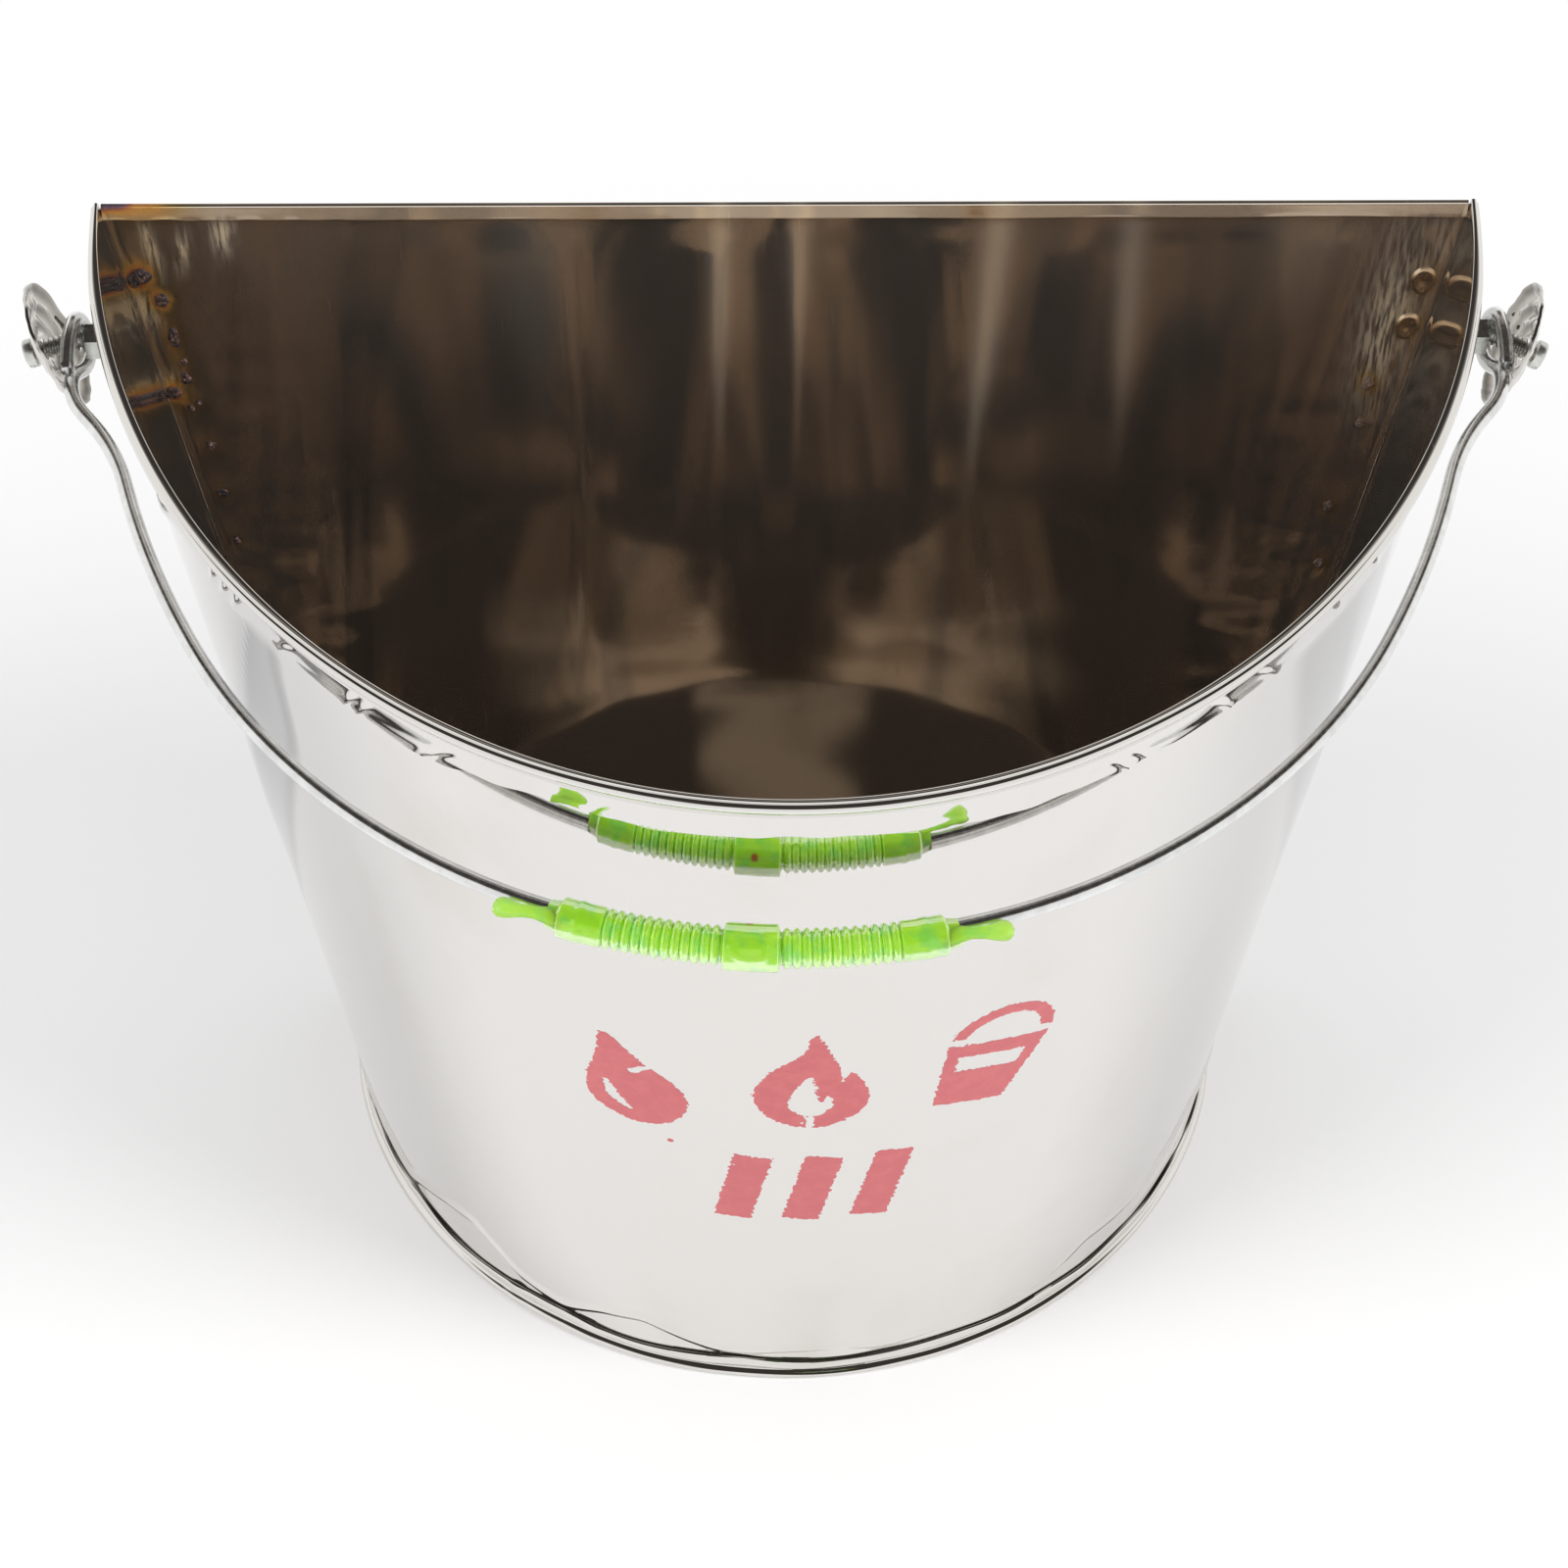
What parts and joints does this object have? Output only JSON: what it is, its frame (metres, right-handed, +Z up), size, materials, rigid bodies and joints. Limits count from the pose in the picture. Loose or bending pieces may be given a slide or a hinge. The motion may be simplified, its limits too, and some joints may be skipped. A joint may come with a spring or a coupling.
{
  "type": "fire bucket",
  "caption": "Flat-backed tapered sheet steel bucket with a rolled rim, riding on a recessed floor, with a swinging wire bail and a soft ribbed grip sleeve.",
  "frame": {"origin": "on the ground under the middle of the whole part, the resting bail included", "axes": "+X to the right seen from the front, +Y to the flat back panel, +Z up; the bail rests towards -Y"},
  "size_m": [0.357, 0.2073, 0.2766],
  "materials": {
    "polished_steel": "mirror-polished stainless sheet",
    "weld_tint": "heat-tinted spot weld",
    "zinc_fastener": "dull zinc plating",
    "galvanised_wire": "galvanised drawn wire",
    "green_vinyl": "soft translucent vinyl"
  },
  "bodies": {
    "bucket": {"front_wall": "polished_steel", "back_panel": "polished_steel", "bottom_plate": "polished_steel", "spot_welds": "weld_tint", "ear_nut_left": "zinc_fastener", "ear_nut_right": "zinc_fastener", "ear_screw_left": "zinc_fastener", "ear_screw_right": "zinc_fastener", "ear_cup_left": "polished_steel", "ear_cup_right": "polished_steel"},
    "bail": {"bail_wire": "galvanised_wire", "grip": "green_vinyl"}
  },
  "joints": [
    {"name": "bail_swing", "type": "hinge", "parent": "bucket", "child": "bail", "pos_m": [0, 0.06614, 0.26155], "axis": [-1, 0, 0], "range_deg": [0, 135]}
  ]
}
